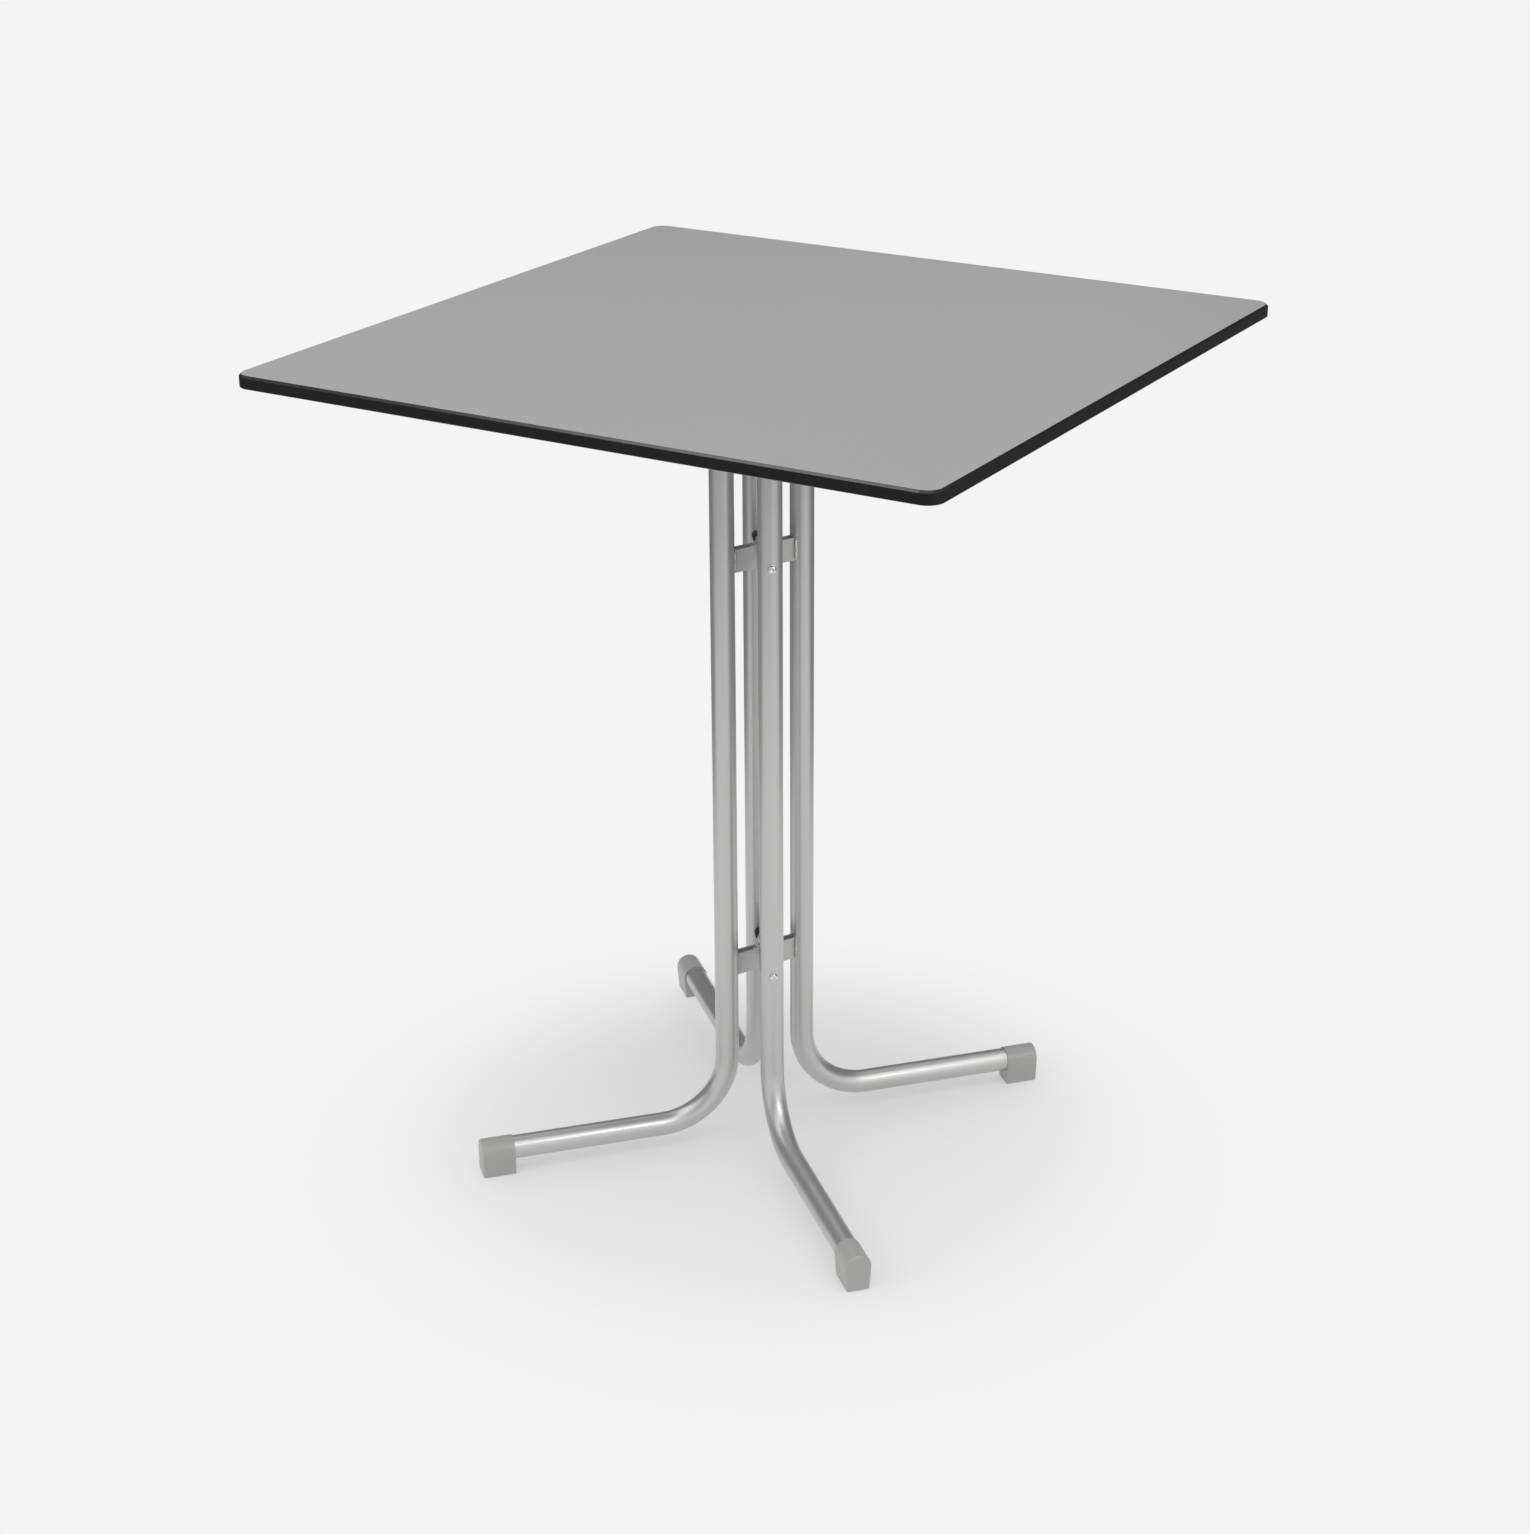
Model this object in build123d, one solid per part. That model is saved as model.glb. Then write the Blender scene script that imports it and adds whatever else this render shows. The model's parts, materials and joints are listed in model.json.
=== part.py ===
from build123d import *
import math
import os

# A square high table on four bent tube legs. The right and left legs form one pair and the
# front and back legs another. Both pairs turn on a bolt below the head bracket and close side
# by side, and the board tips up about a hinge line on the head bracket.
# The board's edges lie along X and Y, the origin is on the floor below the board's centre.

# Overall sizes in millimetres
board_side = 900.0
table_height = 1052.0
board_thickness = 16.0
board_corner_radius = 20.0
board_chamfer = 3.0
underside_chamfer = 1.0
laminate_thickness = 0.3

# Where the column stands under the board, and how the legs point
column_y = -30.0
leg_turn_degrees = 47.5
quarter_turn = 90.0
fold_degrees = 40.0

# Leg tubes
tube_radius = 15.0
tube_wall = 1.8
bend_radius = 88.0
side_reach = 328.0
end_reach = 350.0
foot_axis_height = 32.0

# Places of the tubes about the column's axis
side_tube_x = 26.0
side_tube_y = 51.0
end_tube_x = 41.0
end_tube_y = 51.0

# Play in the fits
running_clearance = 0.06
seat_clearance = 0.1
hole_clearance = 0.3
slide_gap = 0.3
overrun = 5.0

# Foot caps and their pads
cap_length = 42.0
cap_half_width = 16.5
cap_foot_half_width = 14.0
cap_end_wall = 4.0
cap_bottom_rise = 1.0
cap_edge_round = 2.5
pad_length = 26.0
pad_width = 22.0
pad_thickness = 3.0
pad_corner_radius = 4.0

# Brackets of the side pair, set a little below the two cross rods
upper_drop = 174.0
lower_height = 256.0
arm_height = 29.0
arm_drop = 7.5
arm_sheet = 2.5
arm_half_width = 6.3
arm_web_place = 9.0
arm_web = 4.0
arm_bend_radius = 3.5
sleeve_radius = 11.0
pivot_plug_radius = 7.0
notch_play = 0.8
notch_steps = 5

# Cross rods of the end pair
rod_radius = 4.0
rod_spacer_radius = 6.0
rod_spacer_length = 11.0
rod_screw_radius = 2.5
rod_screw_grip = 10.0
rod_screw_head_radius = 5.2
rod_screw_head_height = 3.4
dome_share = 0.75
rod_socket_radius = 1.8
rod_socket_depth = 2.0

# Top plates of the two pairs, and the bolt they turn on
strip_half_width = 16.0
plate_thickness = 5.0
middle_washer_thickness = 1.0
lower_washer_thickness = 1.0
thrust_washer_thickness = 7.0
washer_radius = 15.0
thrust_washer_radius = 18.0
pivot_bolt_radius = 6.0
pivot_head_radius = 10.5
pivot_head_height = 7.5
pivot_nut_height = 10.0
pivot_bolt_end = 3.0
stop_pin_radius = 4.0
plug_length = 34.0
plate_bolt_radius = 4.0
plate_bolt_head_radius = 6.6
plate_bolt_head_height = 4.6
plate_bolt_length = 26.0

# Head bracket, its hinge line and the board's rests
hinge_out = 37.0
hinge_drop = 34.0
head_floor_drop = 8.0
head_sheet = 5.0
head_half_length = 68.0
head_half_width = 71.0
head_corner_radius = 10.0
cheek_eye_radius = 10.0
cheek_seat_drop = 8.0
cheek_rest_length = 22.0
rest_bar_width = 12.0
rest_bar_height = 10.0
rest_bar_inset = 4.0
rest_pad_radius = 9.0
rest_pad_place = 50.0
rest_stem_radius = 2.5
edge_buffer_half_length = 55.0

# Hinge bolts, and the rails that turn on them
hinge_bolt_radius = 4.0
hinge_head_radius = 6.6
hinge_head_height = 5.3
hinge_nut_height = 6.5
hinge_bolt_end = 1.2
hinge_spacer_thickness = 1.2
hinge_spacer_radius = 9.5
hinge_bush_radius = 6.0
rail_gap = 0.15
rail_back_reach = 190.0
rail_front_reach = 170.0
rail_sheet = 3.0
rail_flange = 30.0
rail_depth = 24.0
rail_eye_radius = 12.0
rail_eye_slope = 26.0
rail_hole_inset = 18.0
rail_hole_inner = 62.0

# Screws and inserts under the board
screw_radius = 3.0
screw_head_radius = 5.5
screw_head_height = 3.2
screw_tip_gap = 1.0
insert_radius = 4.6
insert_length = 9.0

# Spring catch that holds the board level
catch_bar_out = 40.0
catch_bar_rise = 8.0
catch_bar_radius = 4.0
clip_sheet = 1.5
clip_width = 22.0
clip_lip_degrees = 5.0
clip_foot_length = 26.0
clip_screw_inset = 9.0

# Levels, from the board down
underside = table_height - board_thickness
hinge_height = underside - hinge_drop
head_top = hinge_height - head_floor_drop
head_bottom = head_top - head_sheet
end_plate_top = head_bottom - thrust_washer_thickness
end_tube_top = end_plate_top - plate_thickness
side_plate_top = end_tube_top - middle_washer_thickness
side_tube_top = side_plate_top - plate_thickness
pivot_nut_top = side_tube_top - lower_washer_thickness
pivot_nut_low = pivot_nut_top - pivot_nut_height
upper_height = side_tube_top - upper_drop
levels = {"upper": upper_height, "lower": lower_height}

# Places derived from the sizes above
right_tube = (side_tube_x, side_tube_y)
left_tube = (-side_tube_x, -side_tube_y)
back_tube = (-end_tube_x, end_tube_y)
front_tube = (end_tube_x, -end_tube_y)
side_line = math.degrees(math.atan2(side_tube_y, side_tube_x))
end_line = math.degrees(math.atan2(end_tube_y, -end_tube_x))
side_half = math.hypot(side_tube_x, side_tube_y)
end_half = math.hypot(end_tube_x, end_tube_y)
open_angle = end_line - side_line
shut_angle = open_angle + 2 * fold_degrees
tube_bore = tube_radius - tube_wall
rod_end = end_half - tube_radius
both_sides = (1, -1)
on_base = (Align.CENTER, Align.CENTER, Align.MIN)

side_legs = {
    "right": (right_tube, leg_turn_degrees, side_reach),
    "left": (left_tube, leg_turn_degrees + 2 * quarter_turn, side_reach),
}
end_legs = {
    "back": (back_tube, leg_turn_degrees + quarter_turn, end_reach),
    "front": (front_tube, leg_turn_degrees - quarter_turn, end_reach),
}

os.makedirs("parts", exist_ok=True)


def placed(shape):
    # From the column's axis to the board's frame
    return Pos(0, column_y, 0) * shape


def in_head(shape):
    # The head is drawn with its hinge out along X, then turned so that it lies along Y
    return placed(Rot(0, 0, quarter_turn) * shape)


def save(name, *solids):
    # One named piece, or a group of like pieces kept as separate solids
    shape = solids[0] if len(solids) == 1 else Compound(children=list(solids))
    shape.label = name
    export_step(shape, os.path.join("parts", name + ".step"))


def post(radius, low, high, at=(0.0, 0.0)):
    # Upright cylinder from one height to another
    return Pos(at[0], at[1], low) * Cylinder(radius, high - low, align=on_base)


def ring(outer, inner, low, high):
    # Upright ring about the column's axis
    return post(outer, low, high) - post(inner, low, high)


def rod(radius, start, end, height, across=0.0):
    # Cylinder along Y from one place to another
    base = Plane(origin=(across, start, height), x_dir=(1, 0, 0), z_dir=(0, 1, 0))
    return base * Cylinder(radius, end - start, align=on_base)


def hexagon(radius, thickness, place):
    # Hexagonal prism that rises along the Z of its place
    return place * extrude(RegularPolygon(radius, 6), thickness)


def slab(x_low, x_high, y_low, y_high, z_low, z_high):
    # Box between two corners
    box = Box(x_high - x_low, y_high - y_low, z_high - z_low, align=(Align.MIN, Align.MIN, Align.MIN))
    return Pos(x_low, y_low, z_low) * box


def upright_sheet(outline, near, far):
    # Sheet drawn in X and Z that fills the space between two places along Y
    frame = Plane(origin=(0, far, 0), x_dir=(1, 0, 0), z_dir=(0, -1, 0))
    return extrude(frame * outline, far - near, dir=(0, -1, 0))


def flat_sheet(outline, low, high):
    # Sheet drawn in X and Y between two heights
    return extrude(Pos(0, 0, low) * outline, high - low, dir=(0, 0, 1))


def along_leg(shape, tube, degrees):
    # A leg is drawn along +X from its upright tube, then turned and moved to its corner
    return placed(Pos(tube[0], tube[1], 0) * Rot(0, 0, degrees) * shape)


def cross_rod(radius, start, end, height):
    # Cylinder along the line from the front tube to the back tube
    return Rot(0, 0, end_line - quarter_turn) * rod(radius, start, end, height)


# Legs

def leg_tube(top, reach):
    # Upright run, a bend, and the level run out to the foot
    upright = Line((0, 0, top), (0, 0, foot_axis_height + bend_radius))
    bend_centre = (bend_radius, 0, foot_axis_height + bend_radius)
    bend_plane = Plane(origin=bend_centre, x_dir=(1, 0, 0), z_dir=(0, -1, 0))
    bend = bend_plane * CenterArc((0, 0), bend_radius, 2 * quarter_turn, quarter_turn)
    level = Line((bend_radius, 0, foot_axis_height), (reach - cap_end_wall, 0, foot_axis_height))
    path = Wire([upright, bend, level])
    section = Plane(origin=(0, 0, top), z_dir=(0, 0, -1)) * (Circle(tube_radius) - Circle(tube_bore))
    return sweep(section, path=path)


def foot_section():
    # Round over the tube, sides that draw in, flat below
    drop = foot_axis_height - cap_bottom_rise
    block = Polygon(
        (-cap_half_width, 0),
        (-cap_foot_half_width, -drop),
        (cap_foot_half_width, -drop),
        (cap_half_width, 0),
        align=None,
    )
    return Circle(cap_half_width) + block


def pad_block(reach, spread, rise):
    # Rounded pad under the cap, or its pocket when spread
    centre = reach - cap_length / 2
    outline = RectangleRounded(pad_length + 2 * spread, pad_width + 2 * spread, pad_corner_radius)
    return Pos(centre, 0, 0) * extrude(outline, pad_thickness + rise)


def foot_cap(reach):
    # Moulded sleeve over the end of the tube, with a pocket for its pad
    start = Plane(origin=(reach - cap_length, 0, foot_axis_height), x_dir=(0, 1, 0), z_dir=(1, 0, 0))
    body = start * extrude(foot_section(), cap_length, dir=(0, 0, 1))
    outer = body.faces().sort_by(Axis.X)[-1]
    body = fillet(outer.edges(), cap_edge_round)
    bore = start * extrude(Circle(tube_radius + seat_clearance), cap_length - cap_end_wall)
    return body - bore - pad_block(reach, seat_clearance, 0.0)


def screw_holes(tube):
    # Holes for the screws that hold the cross rods
    for height in levels.values():
        hole = cross_rod(rod_screw_radius + hole_clearance, -2 * end_half, 2 * end_half, height)
        tube = tube - placed(hole)
    return tube


for name, (tube, degrees, reach) in side_legs.items():
    save(name + "_leg_tube", along_leg(leg_tube(side_tube_top, reach), tube, degrees))
for name, (tube, degrees, reach) in end_legs.items():
    save(name + "_leg_tube", screw_holes(along_leg(leg_tube(end_tube_top, reach), tube, degrees)))
for name, (tube, degrees, reach) in {**side_legs, **end_legs}.items():
    save(name + "_foot_cap", along_leg(foot_cap(reach), tube, degrees))
    save(name + "_foot_pad", along_leg(pad_block(reach, 0.0, 0.0), tube, degrees))


# Brackets of the side pair, drawn with their line along X

def on_side_line(shape):
    # Turned so that X points at the right tube
    return placed(Rot(0, 0, side_line) * shape)


def arm_span(height):
    # Lower and upper edge of a bracket whose rod runs at the given height
    middle = height - arm_drop
    return middle - arm_height / 2, middle + arm_height / 2


def notch(height):
    # Room for the cross rod as the pairs close, on both sides of the sleeve
    half = rod_radius + notch_play
    reach = side_half
    step = (shut_angle - open_angle) / notch_steps
    angles = [math.radians(open_angle + step * count) for count in range(notch_steps + 1)]
    rim = [(reach * math.cos(angle), reach * math.sin(angle)) for angle in angles]
    fan = Polygon((0, 0), *rim, align=None)
    outline = fan + Rot(0, 0, 2 * quarter_turn) * fan
    for angle in (open_angle, shut_angle):
        outline = outline + Rot(0, 0, angle) * Rectangle(2 * reach, 2 * half)
    return flat_sheet(outline, height - half, height + half)


def arm_outline(spread, start):
    # U in plan, its closed end rounded and next to the sleeve, its open end past the tube's axis
    half = arm_half_width - spread
    length = side_half - start
    block = Pos(start, 0) * Rectangle(length, 2 * half, align=(Align.MIN, Align.CENTER))
    corners = block.vertices().group_by(Axis.X)[0]
    return fillet(corners, arm_bend_radius - spread)


def arm(height, side):
    # Folded sheet between the sleeve and a tube
    low, high = arm_span(height)
    outline = arm_outline(0.0, arm_web_place) - arm_outline(arm_sheet, arm_web_place + arm_web)
    turn = 0.0 if side > 0 else 2 * quarter_turn
    body = Rot(0, 0, turn) * flat_sheet(outline, low, high)
    body = body - post(sleeve_radius, low - overrun, high + overrun)
    body = body - post(tube_radius, low - overrun, high + overrun, (side * side_half, 0.0))
    return body - notch(height)


def pivot_sleeve(height):
    # Tube in the middle of the bracket, cut away where the rod passes
    low, high = arm_span(height)
    return ring(sleeve_radius, pivot_plug_radius + running_clearance, low, high) - notch(height)


def pivot_plug(height):
    # Plug that turns in the sleeve and carries the rod
    body = post(pivot_plug_radius, *arm_span(height))
    return body - cross_rod(rod_radius + running_clearance, -sleeve_radius, sleeve_radius, height)


arm_sides = {"right": 1, "left": -1}
for level, height in levels.items():
    for name, side in arm_sides.items():
        save(level + "_" + name + "_arm", on_side_line(arm(height, side)))
    save(level + "_pivot_sleeve", on_side_line(pivot_sleeve(height)))
    save(level + "_pivot_plug", placed(pivot_plug(height)))


# Cross rods of the end pair

def cross_tie(height):
    # Rod between the front and back tubes, bored for a screw at each end
    body = cross_rod(rod_radius, -rod_end, rod_end, height)
    bore = rod_screw_radius + running_clearance
    depth = rod_end - rod_screw_grip
    return body - cross_rod(bore, depth, rod_end, height) - cross_rod(bore, -rod_end, -depth, height)


def mirrored(start, end, side):
    # The same stretch of the rod on either side of the column's axis
    return (start, end) if side > 0 else (-end, -start)


def rod_spacer(height, side):
    # Black sleeve against the tube
    start, end = mirrored(rod_end - rod_spacer_length, rod_end, side)
    return cross_rod(rod_spacer_radius, start, end, height) - cross_rod(
        rod_radius + running_clearance, start, end, height
    )


def rod_screw(height, side):
    # Domed socket screw through a tube into the end of the rod
    seat = end_half + tube_radius
    tip = seat + rod_screw_head_height
    start, end = mirrored(seat, tip, side)
    head = cross_rod(rod_screw_head_radius, start, end, height)
    direction = Vector(0, side, 0).rotate(Axis.Z, end_line - quarter_turn)
    rim = head.edges().sort_by(Axis((0, 0, 0), direction))[-1]
    head = fillet(rim, rod_screw_head_height * dome_share)
    start, end = mirrored(rod_end - rod_screw_grip, seat, side)
    shank = cross_rod(rod_screw_radius, start, end, height)
    start, end = mirrored(tip - rod_socket_depth, tip, side)
    return head + shank - cross_rod(rod_socket_radius, start, end, height)


for level, height in levels.items():
    save(level + "_cross_rod", placed(cross_tie(height)))
rod_ends = [(height, side) for height in levels.values() for side in both_sides]
save("rod_spacers", *[placed(rod_spacer(height, side)) for height, side in rod_ends])
save("rod_screws", *[placed(rod_screw(height, side)) for height, side in rod_ends])


# Top plates of the pairs and the bolt they turn on

def top_plate(low, half, degrees, tubes):
    # Strip over two tubes with a hole for the pivot bolt
    outline = Rot(0, 0, degrees) * SlotCenterToCenter(2 * half, 2 * strip_half_width)
    high = low + plate_thickness
    body = flat_sheet(outline, low, high) - post(pivot_bolt_radius + running_clearance, low, high)
    for tube in tubes:
        body = body - post(plate_bolt_radius + seat_clearance, low, high, tube)
    return body


def top_plug(top, tube):
    # Threaded plug in the top of a tube
    low = top - plug_length
    plug = post(tube_bore - seat_clearance, low, top, tube)
    return plug - post(plate_bolt_radius + running_clearance, low, top, tube)


def plate_bolt(top, tube):
    # Hexagon bolt down through the plate into the plug
    shank = post(plate_bolt_radius, top - plate_bolt_length, top, tube)
    place = Plane(origin=(tube[0], tube[1], top))
    return shank + hexagon(plate_bolt_head_radius, plate_bolt_head_height, place)


side_tubes = (right_tube, left_tube)
end_tubes = (back_tube, front_tube)
save("side_top_plate", placed(top_plate(side_tube_top, side_half, side_line, side_tubes)))
save("side_top_plugs", *[placed(top_plug(side_tube_top, tube)) for tube in side_tubes])
save("side_plate_bolts", *[placed(plate_bolt(side_plate_top, tube)) for tube in side_tubes])
save("end_top_plate", placed(top_plate(end_tube_top, end_half, end_line, end_tubes)))
save("end_top_plugs", *[placed(top_plug(end_tube_top, tube)) for tube in end_tubes])
save("end_plate_bolts", *[placed(plate_bolt(end_plate_top, tube)) for tube in end_tubes])

pivot_hole = pivot_bolt_radius + running_clearance
pivot_shank = post(pivot_bolt_radius, pivot_nut_low - pivot_bolt_end, head_top)
pivot_head = hexagon(pivot_head_radius, pivot_head_height, Plane(origin=(0, 0, head_top)))
pivot_nut = hexagon(pivot_head_radius, pivot_nut_height, Plane(origin=(0, 0, pivot_nut_low)))
save("pivot_bolt", placed(pivot_shank + pivot_head))
save("pivot_nut", placed(pivot_nut - post(pivot_hole, pivot_nut_low, pivot_nut_top)))
save("thrust_washer", placed(ring(thrust_washer_radius, pivot_hole, end_plate_top, head_bottom)))
save("middle_washer", placed(ring(washer_radius, pivot_hole, side_plate_top, end_tube_top)))
save("lower_washer", placed(ring(washer_radius, pivot_hole, pivot_nut_top, side_tube_top)))

# The stop pins stand where both strips meet them when the legs are open
stop_angle = math.radians(side_line + open_angle / 2)
stop_out = (strip_half_width + stop_pin_radius + seat_clearance) / math.sin(math.radians(open_angle / 2))
stop_place = (stop_out * math.cos(stop_angle), stop_out * math.sin(stop_angle))
stop_places = [(side * stop_place[0], side * stop_place[1]) for side in both_sides]
save("stop_pins", *[placed(post(stop_pin_radius, side_tube_top, head_top, place)) for place in stop_places])


# Head bracket, drawn with its hinge out along X

cheek_inside = head_half_width - head_sheet
rest_seat = underside - cheek_seat_drop
catch_height = hinge_height + catch_bar_rise
rest_bar_back = -head_half_length + rest_bar_inset
rest_bar_front = rest_bar_back + rest_bar_width
rest_bar_middle = (rest_bar_back + rest_bar_front) / 2


def cheek(side):
    # Upstand with the hinge eye and the seat of the rest bar
    back = -head_half_length
    outline = Polygon(
        (back, head_bottom),
        (hinge_out + cheek_eye_radius, head_bottom),
        (hinge_out + cheek_eye_radius, hinge_height),
        (hinge_out, hinge_height + cheek_eye_radius),
        (back + cheek_rest_length, rest_seat),
        (back, rest_seat),
        align=None,
    )
    outline = outline + Pos(hinge_out, hinge_height) * Circle(cheek_eye_radius)
    near, far = mirrored(cheek_inside, head_half_width, side)
    return upright_sheet(outline, near, far)


def head_bracket():
    # Sheet floor with a cheek turned up on each side
    floor = RectangleRounded(2 * head_half_length, 2 * head_half_width, head_corner_radius)
    body = flat_sheet(floor, head_bottom, head_top) + cheek(1) + cheek(-1)
    body = body - post(pivot_bolt_radius + seat_clearance, head_bottom, head_top)
    bolt_hole = hinge_bolt_radius + seat_clearance
    body = body - rod(bolt_hole, -head_half_width, head_half_width, hinge_height, hinge_out)
    bar_hole = catch_bar_radius + seat_clearance
    return body - rod(bar_hole, -head_half_width, head_half_width, catch_height, -catch_bar_out)


bracket = in_head(head_bracket())
for place in stop_places:
    bracket = bracket - placed(post(stop_pin_radius + running_clearance, head_bottom, head_top, place))


def rest_bar():
    # Square bar between the cheeks, behind the hinge
    low = rest_seat - rest_bar_height
    bar = slab(rest_bar_back, rest_bar_front, -cheek_inside, cheek_inside, low, rest_seat)
    for side in both_sides:
        centre = (rest_bar_middle, side * rest_pad_place)
        bar = bar - post(rest_stem_radius + running_clearance, low, rest_seat, centre)
    return bar


def rest_pad(side):
    # Rubber button with a stem in the rest bar
    centre = (rest_bar_middle, side * rest_pad_place)
    button = post(rest_pad_radius, rest_seat, underside - slide_gap, centre)
    return button + post(rest_stem_radius, rest_seat - rest_bar_height, rest_seat, centre)


rail_inner = head_half_width + hinge_spacer_thickness + rail_gap
rail_outer = rail_inner + rail_sheet


def on_hinge(side, near):
    # Plane across the hinge line whose Z points away from the column
    return Plane(origin=(hinge_out, side * near, hinge_height), x_dir=(1, 0, 0), z_dir=(0, side, 0))


def hinge_bolt(side):
    # Bolt from outside the rail into the cheek
    inner = cheek_inside - hinge_nut_height - hinge_bolt_end
    seat = rail_outer + rail_gap
    shank = on_hinge(side, inner) * extrude(Circle(hinge_bolt_radius), seat - inner)
    return shank + hexagon(hinge_head_radius, hinge_head_height, on_hinge(side, seat))


def hinge_nut(side):
    # Nut inside the cheek
    start = on_hinge(side, cheek_inside - hinge_nut_height)
    body = hexagon(hinge_head_radius, hinge_nut_height, start)
    return body - start * extrude(Circle(hinge_bolt_radius + running_clearance), hinge_nut_height)


def hinge_ring(side, outer, near, thickness):
    # Ring about the hinge bolt
    section = Circle(outer) - Circle(hinge_bolt_radius + running_clearance)
    return on_hinge(side, near) * extrude(section, thickness)


buffer_end = hinge_out + hinge_drop - slide_gap
buffer = slab(
    head_half_length, buffer_end, -edge_buffer_half_length, edge_buffer_half_length, head_bottom, head_top
)
catch_bar = rod(catch_bar_radius, -head_half_width, head_half_width, catch_height, -catch_bar_out)
save("head_bracket", bracket)
save("rest_bar", in_head(rest_bar()))
save("rest_pads", *[in_head(rest_pad(side)) for side in both_sides])
save("edge_buffer", in_head(buffer))
save("catch_bar", in_head(catch_bar))
save("hinge_bolts", *[in_head(hinge_bolt(side)) for side in both_sides])
save("hinge_nuts", *[in_head(hinge_nut(side)) for side in both_sides])
spacers = []
for side in both_sides:
    spacers.append(hinge_ring(side, hinge_spacer_radius, head_half_width, hinge_spacer_thickness))
save("hinge_spacers", *[in_head(spacer) for spacer in spacers])
bushes = [hinge_ring(side, hinge_bush_radius, rail_inner, rail_sheet) for side in both_sides]
save("hinge_bushes", *[in_head(bush) for bush in bushes])


# Rails and catch clip under the board, drawn with the hinge out along X

rail_back = hinge_out - rail_back_reach
rail_front = hinge_out + rail_front_reach
rail_holes = [
    rail_back + rail_hole_inset,
    rail_back + rail_hole_inner,
    rail_front - rail_hole_inner,
    rail_front - rail_hole_inset,
]
flange_middle = rail_inner + (rail_sheet + rail_flange) / 2
rail_screw_places = [(place, side * flange_middle) for side in both_sides for place in rail_holes]


def rail(side):
    # Angle section whose web drops to an eye at the hinge
    web = Polygon(
        (rail_back, underside),
        (rail_back, underside - rail_depth / 2),
        (rail_back + rail_depth, underside - rail_depth),
        (hinge_out - rail_eye_slope, underside - rail_depth),
        (hinge_out - rail_eye_radius, hinge_height),
        (hinge_out + rail_eye_radius, hinge_height),
        (hinge_out + rail_eye_slope, underside - rail_depth),
        (rail_front - rail_depth, underside - rail_depth),
        (rail_front, underside - rail_depth / 2),
        (rail_front, underside),
        align=None,
    )
    web = web + Pos(hinge_out, hinge_height) * Circle(rail_eye_radius)
    web = web - Pos(hinge_out, hinge_height) * Circle(hinge_bush_radius + running_clearance)
    near, far = mirrored(rail_inner, rail_outer, side)
    body = upright_sheet(web, near, far)
    near, far = mirrored(rail_inner, rail_outer + rail_flange, side)
    body = body + slab(rail_back, rail_front, near, far, underside - rail_sheet, underside)
    for place in rail_holes:
        centre = (place, side * flange_middle)
        body = body - post(screw_radius + hole_clearance, underside - rail_sheet, underside, centre)
    return body


def under_screw(centre, sheet):
    # Pan head screw up into its insert
    seat = underside - sheet
    tip = underside + insert_length - screw_tip_gap
    head = post(screw_head_radius, seat - screw_head_height, seat, centre)
    return head + post(screw_radius, seat, tip, centre)


def insert(centre):
    # Threaded insert in the board's underside
    body = post(insert_radius, underside, underside + insert_length, centre)
    return body - post(screw_radius + running_clearance, underside, underside + insert_length, centre)


catch_circle = math.hypot(hinge_out + catch_bar_out, catch_bar_rise)
clip_gap = catch_bar_radius + slide_gap
outer_jaw = catch_circle + clip_gap
inner_jaw = catch_circle - clip_gap - clip_sheet
clip_back = hinge_out - math.sqrt((outer_jaw + clip_sheet) ** 2 - hinge_drop**2) - clip_foot_length
clip_front = hinge_out - math.sqrt(inner_jaw**2 - hinge_drop**2) + clip_foot_length
clip_places = [(clip_back + clip_screw_inset, 0.0), (clip_front - clip_screw_inset, 0.0)]


def jaw(radius):
    # Jaw on a circle about the hinge, so that it slides off the bar as the board tips
    band = Circle(radius + clip_sheet) - Circle(radius)
    reach = 2 * (radius + clip_sheet)
    tip = math.pi - math.asin(catch_bar_rise / catch_circle) + math.radians(clip_lip_degrees)
    rim = (reach * math.cos(tip), reach * math.sin(tip))
    wedge = Polygon((0, 0), (0, hinge_drop), (-reach, hinge_drop), rim, align=None)
    return Pos(hinge_out, hinge_height) * (band & wedge)


def catch_clip():
    # Two jaws below a foot plate that is screwed to the board
    foot = Polygon(
        (clip_back, underside - clip_sheet),
        (clip_front, underside - clip_sheet),
        (clip_front, underside),
        (clip_back, underside),
        align=None,
    )
    outline = foot + jaw(outer_jaw) + jaw(inner_jaw)
    body = upright_sheet(outline, -clip_width / 2, clip_width / 2)
    for centre in clip_places:
        body = body - post(screw_radius + hole_clearance, underside - clip_sheet, underside, centre)
    return body


# Board in three layers

screw_places = rail_screw_places + clip_places


def board_layer(low, high):
    # Slice of the chamfered board between two heights, with holes for the inserts
    outline = RectangleRounded(board_side, board_side, board_corner_radius)
    board = Pos(0, 0, underside) * extrude(outline, board_thickness)
    board = chamfer(board.faces().sort_by(Axis.Z)[-1].edges(), board_chamfer)
    board = chamfer(board.faces().sort_by(Axis.Z)[0].edges(), underside_chamfer)
    layer = board & slab(-board_side, board_side, -board_side, board_side, low, high)
    for centre in screw_places:
        hole = post(insert_radius + seat_clearance, underside - overrun, underside + insert_length, centre)
        layer = layer - in_head(hole)
    return layer


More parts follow.
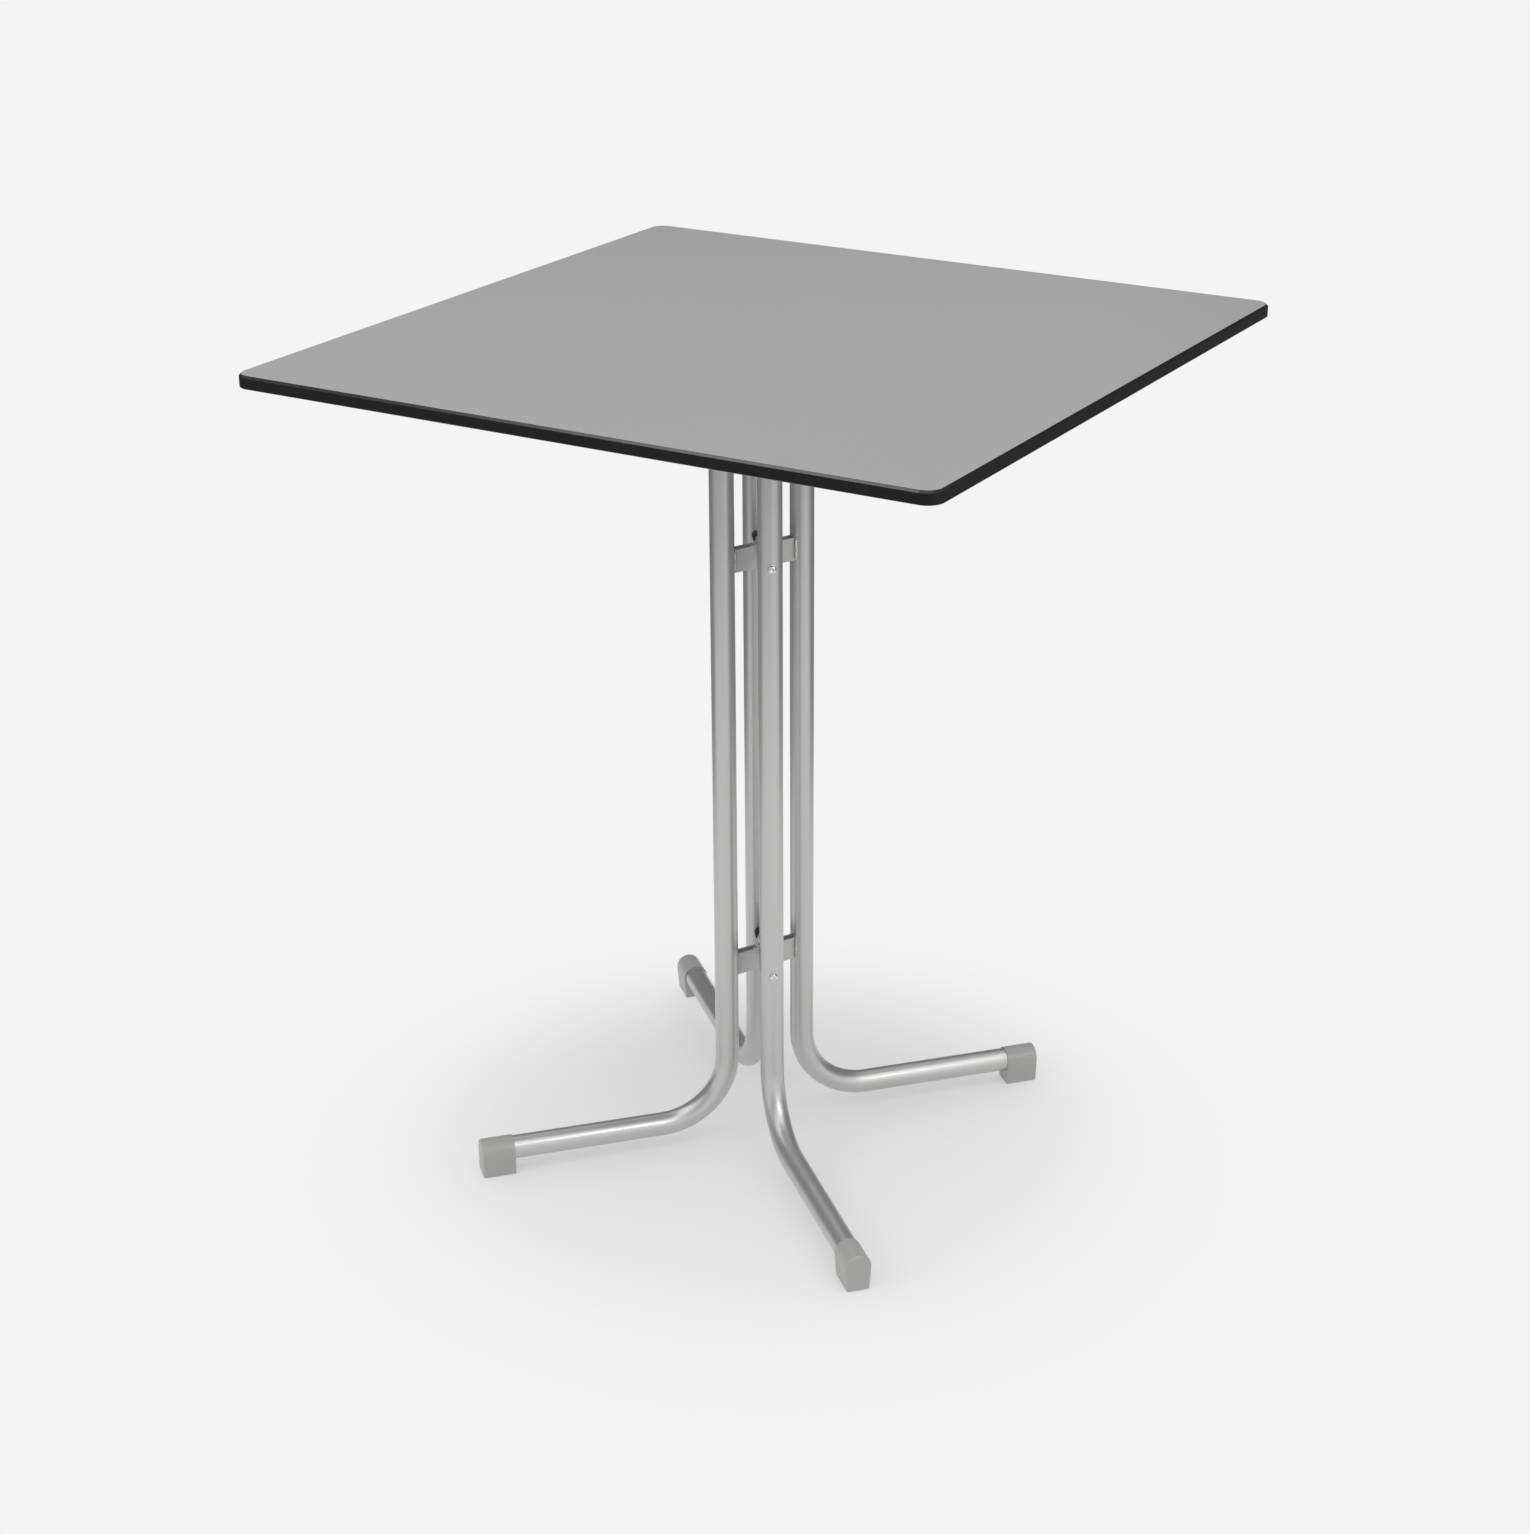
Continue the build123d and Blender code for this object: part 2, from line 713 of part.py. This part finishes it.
lower_face = underside + laminate_thickness
upper_face = table_height - laminate_thickness
save("board_core", board_layer(lower_face, upper_face))
save("top_laminate", board_layer(upper_face, table_height))
save("underside_laminate", board_layer(underside, lower_face))
save("left_rail", in_head(rail(1)))
save("right_rail", in_head(rail(-1)))
save("board_inserts", *[in_head(insert(centre)) for centre in screw_places])
save("rail_screws", *[in_head(under_screw(centre, rail_sheet)) for centre in rail_screw_places])
save("catch_clip", in_head(catch_clip()))
save("catch_clip_screws", *[in_head(under_screw(centre, clip_sheet)) for centre in clip_places])
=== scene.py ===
"""Looks for a square high table on four bent tube legs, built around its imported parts.

Lengths are in metres and angles in degrees unless a docstring says otherwise.
"""

from __future__ import annotations

import json
import logging
import math
from dataclasses import dataclass
from enum import Enum
from typing import Any

import bmesh
import bpy
from mathutils import Matrix, Vector


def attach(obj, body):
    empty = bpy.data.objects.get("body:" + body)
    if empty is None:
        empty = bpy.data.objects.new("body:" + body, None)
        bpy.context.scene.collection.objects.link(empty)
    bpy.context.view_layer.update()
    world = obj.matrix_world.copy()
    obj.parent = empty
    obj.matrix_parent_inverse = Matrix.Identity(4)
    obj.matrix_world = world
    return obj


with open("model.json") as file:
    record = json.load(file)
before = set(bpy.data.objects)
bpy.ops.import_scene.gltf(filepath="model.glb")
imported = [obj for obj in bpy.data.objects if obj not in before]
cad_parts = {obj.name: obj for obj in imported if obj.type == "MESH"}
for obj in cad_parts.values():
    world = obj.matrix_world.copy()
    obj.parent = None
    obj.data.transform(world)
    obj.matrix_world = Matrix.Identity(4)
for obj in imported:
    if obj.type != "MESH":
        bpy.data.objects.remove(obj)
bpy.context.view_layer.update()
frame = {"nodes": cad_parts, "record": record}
LOG = logging.getLogger("high_table")
MM = 0.001
RIGHT_ANGLE = 90.0
# Socket numbers of a Mix node that mixes colours: its three inputs and its output.
MIX_FACTOR, MIX_FIRST, MIX_SECOND, MIX_RESULT = 0, 6, 7, 2

Colour = tuple[float, float, float, float]
Triple = tuple[float, float, float]


def grey(level: float) -> Colour:
    """An opaque grey."""
    return (level, level, level, 1.0)


class Link:
    """A node's output socket that adds Math nodes when it is used in an expression."""

    def __init__(self, graph: "Graph", socket: bpy.types.NodeSocket) -> None:
        """Wraps one output socket."""
        self.graph = graph
        self.socket = socket

    def _math(self, operation: str, *values: Any) -> "Link":
        """Adds a Math node on the given values."""
        inputs = dict(enumerate(values))
        return self.graph.node("ShaderNodeMath", inputs, operation=operation)

    def __add__(self, other: Any) -> "Link":
        """Sum."""
        return self._math("ADD", self, other)

    def __radd__(self, other: Any) -> "Link":
        """Sum with the value first."""
        return self._math("ADD", other, self)

    def __sub__(self, other: Any) -> "Link":
        """Difference."""
        return self._math("SUBTRACT", self, other)

    def __rsub__(self, other: Any) -> "Link":
        """Difference with the value first."""
        return self._math("SUBTRACT", other, self)

    def __mul__(self, other: Any) -> "Link":
        """Product."""
        return self._math("MULTIPLY", self, other)

    def __rmul__(self, other: Any) -> "Link":
        """Product with the value first."""
        return self._math("MULTIPLY", other, self)

    def at_most(self, other: Any) -> "Link":
        """The smaller of the two values."""
        return self._math("MINIMUM", self, other)

    def at_least(self, other: Any) -> "Link":
        """The larger of the two values."""
        return self._math("MAXIMUM", self, other)


class Graph:
    """A material's or world's node tree."""

    def __init__(self, tree: bpy.types.NodeTree) -> None:
        """Empties the tree."""
        self.tree = tree
        self.tree.nodes.clear()

    def node(self, kind: str, inputs: dict[int | str, Any] | None = None,
             out: int | str = 0, **settings: Any) -> Link:
        """Adds one node.

        Args:
            kind: The node's type name.
            inputs: Values or links by socket name or number.
            out: The output that is wrapped.
            **settings: The node's own properties, set first.

        Returns:
            The wrapped output socket.
        """
        made = self.tree.nodes.new(kind)
        for name, value in settings.items():
            setattr(made, name, value)
        for name, value in (inputs or {}).items():
            if isinstance(value, Link):
                self.tree.links.new(value.socket, made.inputs[name])
            else:
                made.inputs[name].default_value = value
        return Link(self, made.outputs[out])

    def end(self, kind: str, shader: Link) -> None:
        """Joins a shader to the tree's output node."""
        made = self.tree.nodes.new(kind)
        self.tree.links.new(shader.socket, made.inputs["Surface"])


@dataclass(frozen=True)
class Finish:
    """A surface with fine mottling, uneven gloss and a small relief.

    Attributes:
        name: The material's name.
        slot: The record's material slot.
        colour: The middle colour.
        metallic: How metallic it is, 0 to 1.
        roughness: The middle roughness.
        grain: Scale of the fine noise, per metre.
        grain_depth: Depth of the relief.
        mottle: Scale of the broad noise, per metre.
        colour_spread: Share by which the colour strays each way.
        gloss_spread: How far the roughness strays.
        coat: Weight of the clear coat.
        specular: The specular level.
        stretch: Scale of the fine noise along each axis.
        grain_detail: Octaves of the fine noise.
        mottle_detail: Octaves of the broad noise.
        octave_share: How strong each octave is against the one before.
        mottle_share: Share of the broad noise in the colour.
        noise_middle: The level about which the noise strays.
        relief_strength: Strength of the bump.
        coat_roughness: Roughness of the clear coat.
        least_roughness: Below this the roughness never falls.
    """

    name: str
    slot: str
    colour: Triple
    metallic: float = 0.0
    roughness: float = 0.5
    grain: float = 600.0
    grain_depth: float = 0.02 * MM
    mottle: float = 6.0
    colour_spread: float = 0.06
    gloss_spread: float = 0.06
    coat: float = 0.0
    specular: float = 0.5
    stretch: Triple = (1.0, 1.0, 1.0)
    grain_detail: float = 2.0
    mottle_detail: float = 4.0
    octave_share: float = 0.6
    mottle_share: float = 0.6
    noise_middle: float = 0.5
    relief_strength: float = 0.6
    coat_roughness: float = 0.25
    least_roughness: float = 0.05

    def noise(self, graph: Graph, vector: Link, scale: float, detail: float) -> Link:
        """Adds a noise about its middle level.

        Args:
            graph: The material's nodes.
            vector: The place on the piece.
            scale: The noise's scale, per metre.
            detail: Its octaves.

        Returns:
            The noise's level.
        """
        inputs = {"Vector": vector, "Scale": scale, "Detail": detail,
                  "Roughness": self.octave_share}
        return graph.node("ShaderNodeTexNoise", inputs, out="Fac")

    def tone(self, level: float) -> Colour:
        """The finish's colour times a level."""
        return (*(min(1.0, part * level) for part in self.colour), 1.0)

    def build(self) -> bpy.types.Material:
        """Makes the material.

        Returns:
            The new material.
        """
        material = bpy.data.materials.new(self.name)
        material.use_nodes = True
        graph = Graph(material.node_tree)
        place = graph.node("ShaderNodeTexCoord", out="Object")
        stretched = graph.node("ShaderNodeMapping", {"Vector": place, "Scale": self.stretch})
        fine = self.noise(graph, stretched, self.grain, self.grain_detail)
        broad = self.noise(graph, place, self.mottle, self.mottle_detail)
        colour = graph.node("ShaderNodeMix", {
            MIX_FACTOR: broad * self.mottle_share + fine * (1 - self.mottle_share),
            MIX_FIRST: self.tone(1 - self.colour_spread),
            MIX_SECOND: self.tone(1 + self.colour_spread),
        }, out=MIX_RESULT, data_type="RGBA")
        roughness = (
            (broad - self.noise_middle) * (2 * self.gloss_spread)
            + (fine - self.noise_middle) * self.gloss_spread
            + self.roughness
        )
        relief = graph.node("ShaderNodeBump", {
            "Height": fine,
            "Strength": self.relief_strength,
            "Distance": self.grain_depth,
        })
        shader = graph.node("ShaderNodeBsdfPrincipled", {
            "Base Color": colour,
            "Metallic": self.metallic,
            "Roughness": roughness.at_most(1.0).at_least(self.least_roughness),
            "Normal": relief,
            "Coat Weight": self.coat,
            "Coat Roughness": self.coat_roughness,
            "Specular IOR Level": self.specular,
        })
        graph.end("ShaderNodeOutputMaterial", shader)
        return material


class Finishes(Enum):
    """Every finish of the table."""

    LAMINATE = Finish("grey_laminate", "laminate", (0.333, 0.333, 0.335), roughness=0.5,
                      grain=900.0, grain_depth=0.03 * MM, mottle=3.0, colour_spread=0.035,
                      gloss_spread=0.05)
    CORE = Finish("black_core_edge", "core", (0.007, 0.007, 0.0075), roughness=0.3, grain=500.0,
                  colour_spread=0.25, gloss_spread=0.08, specular=0.3, stretch=(0.06, 0.06, 3.0))
    TUBE = Finish("silver_powder_coat", "tube", (0.56, 0.56, 0.555), metallic=0.8,
                  roughness=0.36, grain=1400.0, grain_depth=0.02 * MM, colour_spread=0.04,
                  gloss_spread=0.05, coat=0.1)
    BRACKET = Finish("bracket_powder_coat", "bracket", (0.5, 0.5, 0.495), metallic=0.5,
                     roughness=0.42, grain=1300.0, grain_depth=0.03 * MM, colour_spread=0.06,
                     gloss_spread=0.07)
    CAP = Finish("moulded_grey_plastic", "cap", (0.39, 0.39, 0.383), roughness=0.4,
                 grain=1100.0, grain_depth=0.04 * MM, mottle=25.0, colour_spread=0.04,
                 gloss_spread=0.05)
    DARK_STEEL = Finish("dark_powder_coat", "dark_steel", (0.06, 0.06, 0.062), metallic=0.2,
                        roughness=0.5, grain=1200.0, grain_depth=0.04 * MM, colour_spread=0.1)
    ZINC = Finish("bright_zinc", "zinc", (0.72, 0.72, 0.71), metallic=1.0, roughness=0.26,
                  grain=700.0, mottle=120.0, colour_spread=0.06, gloss_spread=0.08)
    NYLON = Finish("black_nylon", "nylon", (0.014, 0.014, 0.014), roughness=0.45, grain=900.0,
                   mottle=60.0, colour_spread=0.15)
    RUBBER = Finish("black_rubber", "rubber", (0.02, 0.02, 0.02), roughness=0.8, grain=800.0,
                    grain_depth=0.06 * MM, mottle=80.0, colour_spread=0.2)


class Painter:
    """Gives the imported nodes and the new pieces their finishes."""

    def __init__(self) -> None:
        """Makes each finish once."""
        self.made = {finish.value.slot: finish.value.build() for finish in Finishes}

    def dress(self, piece: bpy.types.Object, slot: str) -> None:
        """Puts one finish on every material slot of a piece.

        Args:
            piece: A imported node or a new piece.
            slot: The slot that names the finish.
        """
        if not piece.material_slots:
            piece.data.materials.append(self.made[slot])
        for place in piece.material_slots:
            place.material = self.made[slot]

    def dress_body(self, body: str) -> list[str]:
        """Dresses a body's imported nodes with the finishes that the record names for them.

        Args:
            body: The body's name in the record.

        Returns:
            The nodes' names.
        """
        slots = {part["node"]: part["material_slot"] for part in frame["record"]["subparts"]}
        names = list(frame["record"]["behaviour"]["bodies"][body])
        for name in names:
            self.dress(frame["nodes"][name], slots[name])
        return names


@dataclass
class Assembly:
    """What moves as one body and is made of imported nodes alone."""

    body: str

    def build(self, painter: Painter) -> list[str]:
        """Dresses the body's nodes and gives their names."""
        return painter.dress_body(self.body)


@dataclass
class Tabletop(Assembly):
    """The board, its rails and its catch."""

    body: str = "board"


@dataclass
class Head(Assembly):
    """The bracket under the board that both leg pairs turn on."""

    body: str = "head"


@dataclass
class LegPair(Assembly):
    """Two opposite legs with what ties them together."""


@dataclass
class Welds:
    """Weld beads where a bracket's folded sheets meet the side tubes.

    Attributes:
        level: Which bracket, upper or lower.
        column: The upright line that the legs fold about, in the floor's plane.
        tube_place: The right tube's middle, measured from the column.
        seam_along: From the column to a bead, along the line through the side tubes.
        seam_across: From that line to a bead, across it.
        bead_radius: The bead's radius.
        bead_length: The bead's height.
        bead_sides: Flat sides round the bead.
        ripples: Ripples along the bead.
        ripple_depth: How far a ripple strays, as a share of the radius.
        rings_per_ripple: Rings of vertices that draw one ripple.
        end_sharpness: Power of the curve that rounds the ends, where more is blunter.
        end_flat: Square of the share of the radius that is left at the ends.
        smooth_angle: Edges bent less than this are shaded smooth.
    """

    level: str
    column: tuple[float, float] = (0.0, -30 * MM)
    tube_place: tuple[float, float] = (26 * MM, 51 * MM)
    seam_along: float = 43.6 * MM
    seam_across: float = 7.4 * MM
    bead_radius: float = 2.2 * MM
    bead_length: float = 28 * MM
    bead_sides: int = 14
    ripples: int = 12
    ripple_depth: float = 0.16
    rings_per_ripple: int = 4
    end_sharpness: int = 6
    end_flat: float = 0.05
    smooth_angle: float = 50.0

    def middle(self) -> float:
        """Finds the height of the bracket's middle, from its packed arm.

        Returns:
            The height above the floor.
        """
        arm = frame["nodes"][f"{self.level}_left_arm"]
        heights = [(arm.matrix_world @ Vector(corner)).z for corner in arm.bound_box]
        return (min(heights) + max(heights)) / 2

    def cut_rings(self, piece: bpy.types.Object) -> None:
        """Cuts a plain rod into rings along its length.

        Args:
            piece: The rod, as the active object.
        """
        bpy.ops.object.mode_set(mode="EDIT")
        bpy.ops.mesh.select_all(action="DESELECT")
        sides = bmesh.from_edit_mesh(piece.data)
        for edge in sides.edges:
            first, last = edge.verts
            edge.select = abs(first.co.z - last.co.z) > self.bead_length / 2
        bmesh.update_edit_mesh(piece.data)
        cuts = self.rings_per_ripple * self.ripples - 1
        bpy.ops.mesh.subdivide_edgering(number_cuts=cuts)
        bpy.ops.object.mode_set(mode="OBJECT")

    def ripple(self, piece: bpy.types.Object) -> None:
        """Swells and narrows the rings, and draws the ends in.

        Args:
            piece: The rod with its rings, about its own middle.
        """
        for vertex in piece.data.vertices:
            share = vertex.co.z / self.bead_length
            wave = 1 + self.ripple_depth * math.sin(2 * math.pi * self.ripples * share)
            taper = math.sqrt(max(self.end_flat, 1 - (2 * abs(share)) ** self.end_sharpness))
            vertex.co.x *= wave * taper
            vertex.co.y *= wave * taper

    def bead(self, name: str, place: Vector) -> bpy.types.Object:
        """Models one bead as a rippled rod with closed, rounded ends.

        Args:
            name: The piece's name.
            place: The bead's middle.

        Returns:
            The bead, with its place in its mesh.
        """
        bpy.ops.object.select_all(action="DESELECT")
        bpy.ops.mesh.primitive_cylinder_add(vertices=self.bead_sides, radius=self.bead_radius,
                                            depth=self.bead_length, end_fill_type="NGON",
                                            location=place)
        piece = bpy.context.object
        piece.name = name
        self.cut_rings(piece)
        self.ripple(piece)
        bpy.ops.object.transform_apply(location=True, rotation=True, scale=True)
        bpy.ops.object.shade_smooth_by_angle(angle=math.radians(self.smooth_angle))
        return piece

    def build(self, painter: Painter) -> list[str]:
        """Models the four beads of this bracket.

        Args:
            painter: Gives the beads their finish.

        Returns:
            The beads' names.
        """
        turn = math.atan2(self.tube_place[1], self.tube_place[0])
        names = []
        for side, along in (("right", 1), ("left", -1)):
            for face, across in (("front", -1), ("rear", 1)):
                local = Vector((along * self.seam_along, across * self.seam_across, 0))
                place = Matrix.Rotation(turn, 3, "Z") @ local
                place += Vector((*self.column, self.middle()))
                piece = self.bead(f"{self.level}_{side}_{face}_weld", place)
                painter.dress(piece, "bracket")
                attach(piece, "side_legs")
                names.append(piece.name)
        return names


@dataclass(frozen=True)
class Card:
    """An upright card around the table that only gloss sees.

    Attributes:
        name: The card's name.
        azimuth: Where it stands, from the view's own direction away from the camera.
        distance: How far it stands from the origin.
        width: Its width.
        low: The height of its lower edge.
        high: The height of its upper edge.
        level: How bright it is, where 1 is white.
    """

    name: str
    azimuth: float
    distance: float
    width: float
    low: float
    high: float
    level: float

    def build(self, view: float) -> None:
        """Stands the card in its place, out of the part.

        Args:
            view: The direction that the camera looks in, from +X.
        """
        angle = math.radians(view + self.azimuth)
        upright = math.radians(RIGHT_ANGLE)
        middle = Vector((self.distance, 0, (self.low + self.high) / 2))
        place = Matrix.Rotation(angle, 3, "Z") @ middle
        bpy.ops.object.select_all(action="DESELECT")
        bpy.ops.mesh.primitive_plane_add(size=1.0, location=place,
                                         rotation=(upright, 0, angle + upright))
        card = bpy.context.object
        card.name = self.name
        card.scale = (self.width, self.high - self.low, 1.0)
        material = bpy.data.materials.new(self.name)
        material.use_nodes = True
        graph = Graph(material.node_tree)
        glow = {"Color": grey(1.0), "Strength": self.level}
        graph.end("ShaderNodeOutputMaterial", graph.node("ShaderNodeEmission", glow))
        card.data.materials.append(material)
        card.visible_camera = False
        card.visible_diffuse = False
        card.visible_shadow = False
        card.visible_transmission = False


class Cards(Enum):
    """Dark cards behind the table, dim ones before it, and two bright ones.

    The bright ones stand before it at the right, and high up at the left.
    """

    LEFT = Card("left_card", 68.0, 1.15, 1.7, 0.0, 1.42, 0.17)
    REAR = Card("rear_card", 0.0, 1.15, 1.7, 0.0, 1.42, 0.17)
    RIGHT = Card("right_card", -68.0, 1.15, 1.7, 0.0, 1.8, 0.17)
    NEAR_LEFT = Card("near_left_card", 124.0, 1.2, 1.5, 0.4, 1.0, 0.33)
    NEAR = Card("near_card", 180.0, 1.2, 1.5, 0.4, 1.0, 0.33)
    NEAR_RIGHT = Card("near_right_card", -124.0, 1.2, 1.5, 0.4, 1.0, 0.33)
    RIGHT_BOX = Card("right_softbox", -142.7, 2.0, 1.2, 1.1, 1.9, 9.0)
    LEFT_BOX = Card("left_softbox", 95.3, 1.3, 1.4, 2.45, 4.2, 8.5)


@dataclass(frozen=True)
class Lamp:
    """A wide soft lamp far away.

    Attributes:
        name: The lamp's name.
        strength: Its strength.
        spread: How wide it looks from the table.
        direction: The direction that it shines in.
    """

    name: str
    strength: float
    spread: float
    direction: Triple

    def build(self) -> None:
        """Hangs the lamp."""
        lamp = bpy.data.lights.new(self.name, "SUN")
        lamp.energy = self.strength
        lamp.angle = math.radians(self.spread)
        holder = bpy.data.objects.new(self.name, lamp)
        holder.rotation_euler = Vector(self.direction).to_track_quat("-Z", "Y").to_euler()
        bpy.context.scene.collection.objects.link(holder)


class Lamps(Enum):
    """A main lamp overhead and a weaker one from the camera's left."""

    KEY = Lamp("key_lamp", 0.78, 40.0, (-0.15, 0.12, -1.0))
    SIDE = Lamp("side_lamp", 0.25, 30.0, (0.6, 0.9, -0.7))


@dataclass
class Studio:
    """Floor, light and camera.

    Attributes:
        floor_half: Half the floor's side.
        backdrop_level: How bright the backdrop and the plain floor look.
        floor_tone: How pale the floor is where it takes the shadow.
        shadow_centre: The middle of the place that keeps the shadow.
        shadow_inner: Up to here the shadow is kept in full.
        shadow_outer: From here on the floor is plain.
        plain_share: Share of the plain floor that lightens the shadow.
        sky_level: Strength of the light from all round.
        camera_place: Where the camera stands.
        camera_turn: The camera's turn about the upright, with 0 looking along +Y.
        camera_pitch: How far it looks down.
        camera_roll: Its roll.
        lens: Its focal length, in mm.
        sensor: Its sensor's width, in mm.
    """

    floor_half: float = 40.0
    backdrop_level: float = 0.905
    floor_tone: float = 0.9
    shadow_centre: Triple = (0.05, -0.09, 0.0)
    shadow_inner: float = 0.3
    shadow_outer: float = 0.66
    plain_share: float = 0.3
    sky_level: float = 0.74
    camera_place: Triple = (1.70097, -2.88926, 1.91668)
    camera_turn: float = 30.7147
    camera_pitch: float = 22.9318
    camera_roll: float = -0.2787
    lens: float = 67.871
    sensor: float = 36.0

    def world(self) -> None:
        """Lights evenly from all round, and shows the backdrop to the lens and to gloss."""
        world = bpy.data.worlds.new("studio_light")
        bpy.context.scene.world = world
        world.use_nodes = True
        graph = Graph(world.node_tree)
        camera = graph.node("ShaderNodeLightPath", out="Is Camera Ray")
        seen = camera.at_least(graph.node("ShaderNodeLightPath", out="Is Glossy Ray"))
        seen = seen.at_least(graph.node("ShaderNodeLightPath", out="Is Transmission Ray"))
        level = self.sky_level + seen * (self.backdrop_level - self.sky_level)
        shader = graph.node("ShaderNodeBackground", {"Color": grey(1.0), "Strength": level})
        graph.end("ShaderNodeOutputWorld", shader)

    def floor(self) -> None:
        """Lays a pale floor that keeps the shadow near the table and turns plain farther out."""
        bpy.ops.object.select_all(action="DESELECT")
        bpy.ops.mesh.primitive_plane_add(size=2 * self.floor_half, location=(0, 0, 0))
        plane = bpy.context.object
        plane.name = "floor"
        material = bpy.data.materials.new("pale_floor")
        material.use_nodes = True
        graph = Graph(material.node_tree)
        place = graph.node("ShaderNodeTexCoord", out="Object")
        distance = graph.node("ShaderNodeVectorMath", {0: place, 1: self.shadow_centre},
                              out="Value", operation="DISTANCE")
        share = graph.node("ShaderNodeMapRange", {
            "Value": distance,
            "From Min": self.shadow_inner,
            "From Max": self.shadow_outer,
            "To Min": self.plain_share,
        }, interpolation_type="SMOOTHSTEP")
        matt = graph.node("ShaderNodeBsdfDiffuse", {"Color": grey(self.floor_tone)})
        plain = graph.node("ShaderNodeEmission", {"Color": grey(self.backdrop_level)})
        shader = graph.node("ShaderNodeMixShader", {0: share, 1: matt, 2: plain})
        graph.end("ShaderNodeOutputMaterial", shader)
        plane.data.materials.append(material)

    def camera(self) -> None:
        """Places the camera where the photograph was taken from."""
        turn = math.radians(self.camera_turn)
        pitch = math.radians(self.camera_pitch)
        roll = math.radians(self.camera_roll)
        right = Vector((math.cos(turn), math.sin(turn), 0))
        level = Vector((-math.sin(turn), math.cos(turn), 0))
        ahead = level * math.cos(pitch) - Vector((0, 0, math.sin(pitch)))
        up = right.cross(ahead)
        across = right * math.cos(roll) + up * math.sin(roll)
        upright = up * math.cos(roll) - right * math.sin(roll)
        data = bpy.data.cameras.new("camera")
        data.lens = self.lens
        data.sensor_width = self.sensor
        holder = bpy.data.objects.new("camera", data)
        axes = Matrix((across, upright, -ahead)).transposed().to_4x4()
        holder.matrix_world = Matrix.Translation(self.camera_place) @ axes
        bpy.context.scene.collection.objects.link(holder)
        bpy.context.scene.camera = holder

    def build(self) -> None:
        """Sets the whole studio."""
        bpy.context.scene.view_settings.view_transform = "Standard"
        self.world()
        self.floor()
        for lamp in Lamps:
            lamp.value.build()
        for card in Cards:
            card.value.build(self.camera_turn + RIGHT_ANGLE)
        self.camera()


def main() -> None:
    """Builds the table's looks in order and reports each piece."""
    logging.basicConfig(level=logging.INFO)
    painter = Painter()
    parts = (Tabletop(), Head(), LegPair("side_legs"), LegPair("end_legs"),
             Welds("upper"), Welds("lower"))
    for part in parts:
        for name in part.build(painter):
            LOG.info("%s: %s", type(part).__name__, name)
    Studio().build()


if __name__ == "__main__":
    main()
